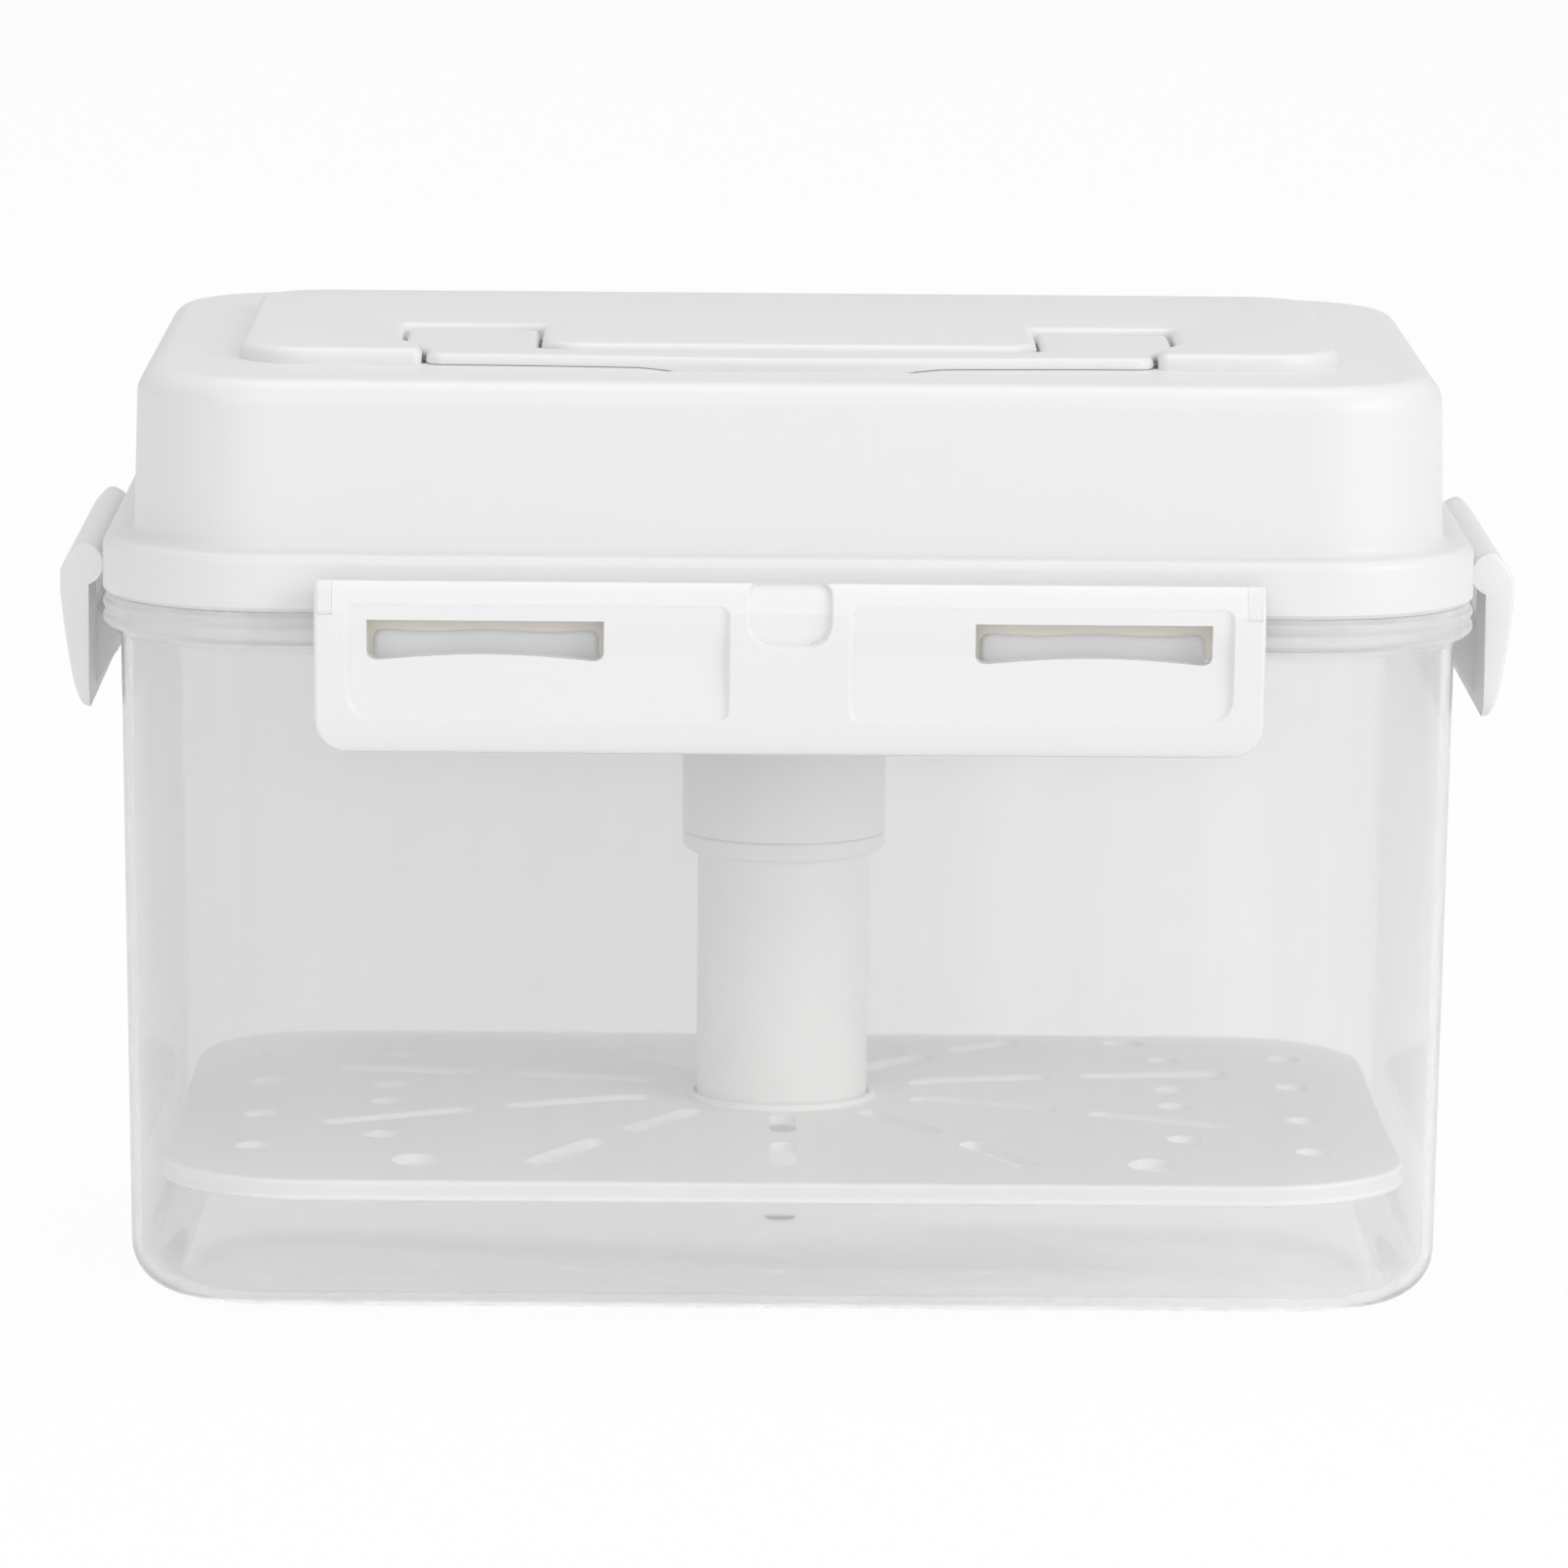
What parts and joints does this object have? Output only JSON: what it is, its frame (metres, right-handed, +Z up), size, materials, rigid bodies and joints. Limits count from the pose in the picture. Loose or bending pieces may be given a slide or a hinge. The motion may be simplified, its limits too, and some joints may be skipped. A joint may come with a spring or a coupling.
{
  "type": "pickle container",
  "caption": "Clear food box with a tall lid, hinged side latches, folding carry handle and a spring press that holds a perforated plate on the food.",
  "frame": {"origin": "centre of the resting face under the container", "axes": "+X along the long side to the right as seen from the front, +Z up, the front faces -Y"},
  "size_m": [0.305, 0.216, 0.1977],
  "materials": {
    "clear_plastic": "clear, polished, slightly blue-grey",
    "white_plastic": "satin-gloss moulded white",
    "latch_plastic": "satin moulded white",
    "press_plastic": "satin moulded white, seen through the box",
    "silicone": "soft translucent white",
    "steel": "drawn stainless wire"
  },
  "bodies": {
    "container": {"container_body": "clear_plastic"},
    "lid": {"lid_shell": "white_plastic", "lid_gasket": "silicone", "top_panel": "white_plastic", "handle_pin_left": "steel", "handle_pin_right": "steel", "front_latch_pin": "steel", "right_latch_pin": "steel", "rear_latch_pin": "steel", "left_latch_pin": "steel", "press_sleeve": "press_plastic", "sleeve_bush": "press_plastic", "spring_cap": "press_plastic", "press_spring": "steel", "sleeve_screw_1": "steel", "sleeve_screw_2": "steel", "sleeve_screw_3": "steel", "sleeve_screw_4": "steel"},
    "front_latch": {"front_latch": "latch_plastic"},
    "right_latch": {"right_latch": "latch_plastic"},
    "rear_latch": {"rear_latch": "latch_plastic"},
    "left_latch": {"left_latch": "latch_plastic"},
    "handle": {"carry_handle": "white_plastic"},
    "press": {"press_tube": "press_plastic", "tube_stop_ring": "press_plastic", "press_plate": "press_plastic", "plate_lock_nut": "press_plastic"}
  },
  "joints": [
    {"name": "lid_lift", "type": "slide", "parent": "container", "child": "lid", "axis": [0, 0, 1], "range_m": [0, 0.135]},
    {"name": "front_latch_hinge", "type": "hinge", "parent": "lid", "child": "front_latch", "pos_m": [0, -0.1035, 0.1505], "axis": [-1, 0, 0], "range_deg": [0, 165]},
    {"name": "right_latch_hinge", "type": "hinge", "parent": "lid", "child": "right_latch", "pos_m": [0.148, 0, 0.1505], "axis": [0, -1, 0], "range_deg": [0, 165]},
    {"name": "rear_latch_hinge", "type": "hinge", "parent": "lid", "child": "rear_latch", "pos_m": [0, 0.1035, 0.1505], "axis": [1, 0, 0], "range_deg": [0, 165]},
    {"name": "left_latch_hinge", "type": "hinge", "parent": "lid", "child": "left_latch", "pos_m": [-0.148, 0, 0.1505], "axis": [0, 1, 0], "range_deg": [0, 165]},
    {"name": "handle_lift", "type": "hinge", "parent": "lid", "child": "handle", "pos_m": [0, -0.0165, 0.1913], "axis": [-1, 0, 0], "range_deg": [0, 90]},
    {"name": "press_slide", "type": "slide", "parent": "lid", "child": "press", "axis": [0, 0, 1], "range_m": [0, 0.05], "stiffness_N_per_m": 150, "springref_m": -0.03, "deforming": ["press_spring"]}
  ],
  "couplings": [
    {"joint": "front_latch_hinge", "follows": "lid_lift", "rad_per_m": 21.33},
    {"joint": "right_latch_hinge", "follows": "lid_lift", "rad_per_m": 21.33},
    {"joint": "rear_latch_hinge", "follows": "lid_lift", "rad_per_m": 21.33},
    {"joint": "left_latch_hinge", "follows": "lid_lift", "rad_per_m": 21.33}
  ]
}
